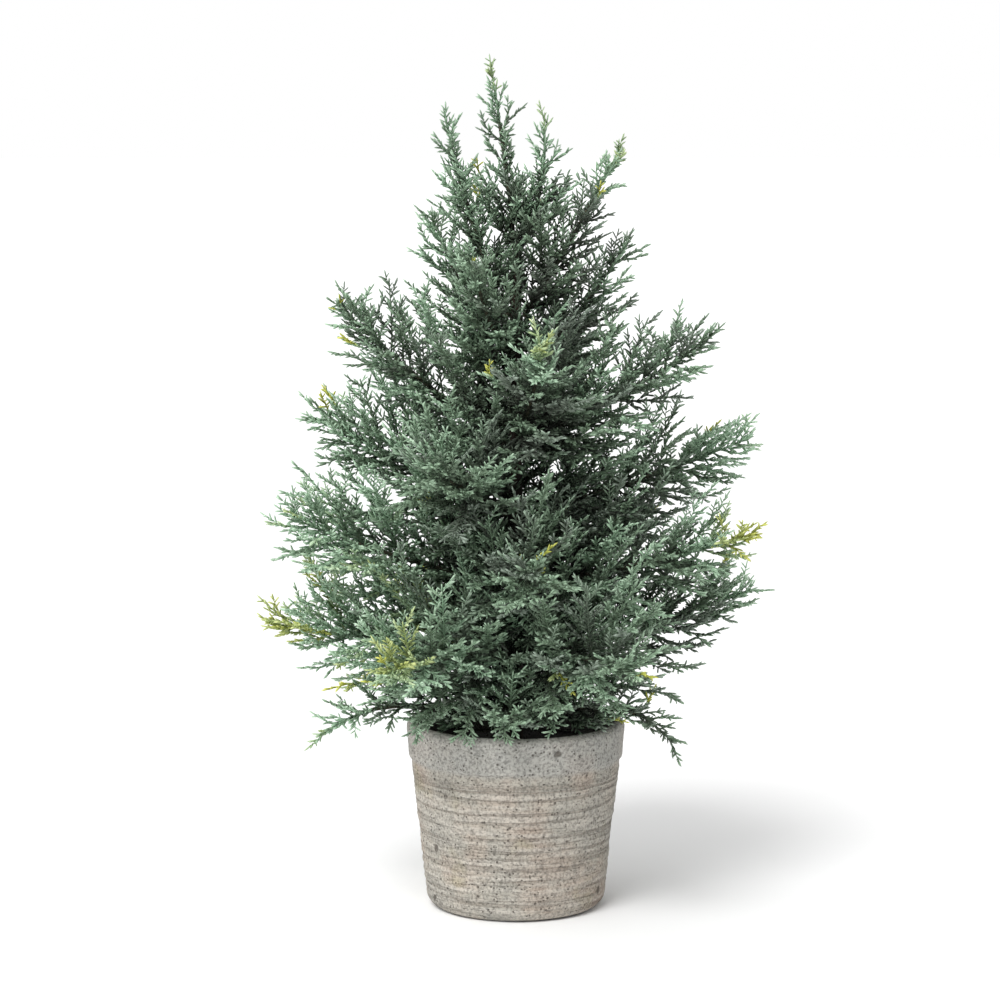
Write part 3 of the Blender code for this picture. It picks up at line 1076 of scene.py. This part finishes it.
bark = two_tone(
    "bark", 0.85, STREAKS, {"Stretch": (9.0, 9.0, 1.0), "Scale": 60.0, "Low": 0.38, "High": 0.6},
    ("1b1511", "3d2f25"), (1200.0, 0.4), (1.0, 0.4), (0.0006, 0.9))
low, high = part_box("trunk_sleeve")
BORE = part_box("trunk_rod")[1].x + FIT_GAP
TOP_RADIUS = 0.0032
END_STRETCH = 0.002
sleeve = turned("trunk_bark", [
    (BORE, low.z, 0.0),
    (high.x, low.z, 0.0),
    (high.x, low.z + END_STRETCH, 0.6),
    (TOP_RADIUS, high.z - END_STRETCH, 0.3),
    (TOP_RADIUS, high.z, 0.0),
    (BORE, high.z, 0.0),
    (BORE, low.z, 0.0),
], {
    "Sides": 36, "Rows": 420,
    "Ridge Depth": 0.0005, "Ridge Stretch": (700.0, 700.0, 40.0),
    "Dent Depth": 0.0004, "Dent Scale": 90.0,
    "Surface": bark,
})
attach(sleeve, "pot_and_trunk")
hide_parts("trunk_sleeve")
print("trunk faces", len(sleeve.data.polygons))

# %% [markdown]
# ## The soil
#
# A thin disc of dark filling hides the foam. Crumbs of it lie loose on the top, so the light
# breaks up there as it does on real potting soil. The crumbs are a few hundred lumps of
# twenty faces each, scattered over a disc and dropped onto the low mound.

# %% The soil finish and its crumbs

# A crumb's length, width and height, as shares of its size, and the least of each.
CRUMB_SHAPE, CRUMB_LEAST = (1.0, 0.8, 0.6), 0.35
# How far the crumbs keep from the edge, and how high the soil is heaped.
CRUMB_EDGE, MOUND = 0.002, 0.003


def soil_finish():
    surface, tree, shader, place = new_material("soil", Roughness=0.97)
    grain = effect(tree, GRAIN, place, Scale=520.0, Contrast=0.6)
    lumps = noise(tree, place, 180.0, 3.0)
    colour = mixed(tree, between(tree, lumps, 0.4, 0.65), "14110e", "2c241c")
    painted(tree, shader, colour, grain["Shade"])
    set_bump(tree, shader, plus(tree, times(tree, lumps, 2.0), grain["Height"]), 0.0015, 0.9)
    return surface


def crumb_tree():
    """Crumbs on a round mound."""
    tree, source = new_tree("Geometry", "crumbs", {
        "Line": "Geometry", "Radius": 0.053, "Edge Height": 0.095, "Mound": MOUND,
        "Density": 60000.0, "Crumb": 0.0016, "Seed": 3, "Surface": "Material",
    }, {"Crumbs": "Geometry"})

    def seeded(step):
        return plus(tree, source["Seed"], step)

    disc = geo(tree, "MeshCircle", {"Vertices": 64, "Radius": source["Radius"]}, fill_type="NGON")
    spots = geo(tree, "DistributePointsOnFaces", {
        "Mesh": disc, "Density": source["Density"], "Seed": source["Seed"]})
    away = vector_math(tree, "LENGTH", {0: geo(tree, "InputPosition")})["Value"]
    share = math_node(tree, "DIVIDE", away, source["Radius"])
    drop = minus(tree, 1.0, times(tree, share, share))
    rise = plus(tree, source["Edge Height"], times(tree, drop, source["Mound"]))
    laid = geo(tree, "SetPosition", {"Geometry": spots, "Offset": vector(tree, z=rise)})
    sizes = []
    for i, flat in enumerate(CRUMB_SHAPE):
        least, most = (times(tree, source["Crumb"], part) for part in (CRUMB_LEAST * flat, flat))
        sizes.append(random_between(tree, least, most, seeded(i + 1.0)))
    turns = vector(tree, *(random_between(tree, 0.0, math.tau, seeded(i + 11.0)) for i in range(3)))
    scattered = geo(tree, "InstanceOnPoints", {
        "Points": laid,
        "Instance": geo(tree, "MeshIcoSphere", {"Radius": 1.0, "Subdivisions": 1}),
        "Rotation": add(tree, "FunctionNodeEulerToRotation", {0: turns}).outputs[0],
        "Scale": vector(tree, *sizes),
    })
    return dressed(tree, scattered, source["Surface"])


soil = soil_finish()
low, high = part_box("soil_cover")
crumbs = grown("soil_crumbs", line_object([(0, 0, 0), (0, 0, 1)]), crumb_tree(), {
    "Radius": high.x - CRUMB_EDGE,
    "Edge Height": high.z - MOUND,
    "Surface": soil,
})
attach(crumbs, "pot_and_trunk")
print("crumb faces", len(crumbs.data.polygons))

# %% [markdown]
# ## The parts that stay as they are
#
# The wires, the rod, the soil disc, the foam and the plaster keep their solids and only get
# their finishes. Branch wire is wound with dark paper tape, the rod is drawn steel, the foam
# is full of fine cells, and the plaster plug is chalky with a few bubbles.

# %% Finishes for the carried-over solids


def steel_finish():
    surface, tree, shader, place = new_material("drawn_steel", Metallic=1.0)
    lines = effect(tree, STREAKS, place, Stretch=(60.0, 60.0, 1.0), Scale=40.0, Low=0.3, High=0.7)[0]
    painted(tree, shader, mixed(tree, lines, "7d7f80", "a9abac"))
    tree.links.new(between(tree, lines, 0.0, 1.0, 0.34, 0.5), shader["Roughness"])
    set_bump(tree, shader, lines, 0.0001, 0.5)
    return surface


def dress(name, surface):
    """Give a CAD node a finish."""
    for socket in frame["nodes"][name].material_slots:
        socket.material = surface


tape = two_tone(
    "wire_tape", 0.8, STREAKS, {"Stretch": (1.0, 1.0, 1.0), "Scale": 420.0, "Low": 0.35, "High": 0.6},
    ("2a2f22", "4c4a36"), (1500.0, 0.35), (1.0, 1.0), (0.0003, 0.8))
for name in branches:
    dress(name + "_wire", tape)
dress("trunk_rod", steel_finish())
dress("foam_block", two_tone(
    "foam", 0.95, PORES, {"Scale": 650.0, "Share": 0.8, "Width": 0.5},
    ("4d6a3f", "2f4427"), (900.0, 0.2), (-1.0, 1.0), (0.0005, 0.8)))
dress("ballast_plug", two_tone(
    "plaster", 0.9, PORES, {"Scale": 240.0, "Share": 0.25, "Width": 0.3},
    ("d6d1c6", "9b958a"), (1100.0, 0.18), (-1.0, 1.0), (0.0005, 0.7)))
dress("soil_cover", soil)
print("dressed", len(branches) + 4, "solids")

# %% [markdown]
# ## The studio
#
# A pale floor, a white sky for the soft fill, and one broad sun from the front left that
# gives a soft shadow to the right and behind. The sky is stronger on the left, as if a large
# soft lamp stood there. It shows as pure white to the camera, as a studio sweep does, but
# lights the tree less strongly than it looks.

# %% Floor and light

FILL = 0.83
SIDE = 0.58
REACH = 12.0
FLOOR_LEVEL = -0.0002
PAPER_WHITE = (0.92, 0.92, 0.92, 1.0)
# Strength, spread, azimuth and elevation.
KEY_LIGHT = (2.05, 26.0, 25.0, 49.0)
scene = bpy.context.scene
scene.view_settings.view_transform = "Standard"

floor_mesh = bpy.data.meshes.new("floor")
corners = [(x * REACH, y * REACH, FLOOR_LEVEL) for x, y in ((-1, -1), (1, -1), (1, 1), (-1, 1))]
floor_mesh.from_pydata(corners, [], [(0, 1, 2, 3)])
floor_mesh.materials.append(new_material(
    "floor_paper", Roughness=0.9, Base_Color=PAPER_WHITE, Specular_IOR_Level=0.0)[0])
floor = bpy.data.objects.new("floor", floor_mesh)
scene.collection.objects.link(floor)
floor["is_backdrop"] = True

world = bpy.data.worlds.new("sweep")
scene.world = world
world.use_nodes = True
sky = world.node_tree
backdrop = next(n for n in sky.nodes if n.type == "BACKGROUND")
backdrop.inputs["Color"].default_value = (1.0, 1.0, 1.0, 1.0)
seen = add(sky, "ShaderNodeLightPath").outputs["Is Camera Ray"]
rightward = axes(sky, add(sky, "ShaderNodeTexCoord").outputs["Generated"])[0]
fill = minus(sky, FILL, times(sky, rightward, FILL * SIDE))
unseen = times(sky, fill, minus(sky, 1.0, seen))
sky.links.new(plus(sky, unseen, seen), backdrop.inputs["Strength"])


def sun(name, strength, spread, azimuth, elevation):
    """A sun. Azimuth 0 shines from the front, and grows towards the left."""
    lamp = bpy.data.lights.new(name, "SUN")
    lamp.energy = strength
    lamp.angle = math.radians(spread)
    holder = bpy.data.objects.new(name, lamp)
    turn, rise = math.radians(azimuth), math.radians(elevation)
    source = Vector((-math.sin(turn) * math.cos(rise), -math.cos(turn) * math.cos(rise), math.sin(rise)))
    holder.rotation_euler = source.to_track_quat("Z", "Y").to_euler()
    scene.collection.objects.link(holder)


sun("key", *KEY_LIGHT)
print("lights", len(bpy.data.lights))

# %% [markdown]
# ## The camera
#
# The camera stands two metres away, a little above the middle of the tree and looking
# slightly down into the pot, with a long lens that keeps the pot's sides almost upright.

# %% Camera

DISTANCE = 2.047
LOOK_DOWN = math.radians(7.75)
AIM_LEFT = 0.0093
AIM_HEIGHT = 0.4805
LENS = 124.6
SENSOR = 36.0
aim = Vector((-AIM_LEFT, 0.0, AIM_HEIGHT * (cad_high.z - cad_low.z)))
lens = bpy.data.cameras.new("camera")
lens.lens = LENS
lens.sensor_width = SENSOR
camera = bpy.data.objects.new("camera", lens)
camera.location = aim + DISTANCE * Vector((0.0, -math.cos(LOOK_DOWN), math.sin(LOOK_DOWN)))
camera.rotation_euler = (aim - camera.location).to_track_quat("-Z", "Y").to_euler()
scene.collection.objects.link(camera)
scene.camera = camera
print("camera at", [round(v, 3) for v in camera.location])

# %% [markdown]
# ## Sizes and the end
#
# The box round everything that shows is measured and printed.

# %% Print the visual box
low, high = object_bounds()
print("visual box", [round(v, 4) for v in low], [round(v, 4) for v in high])
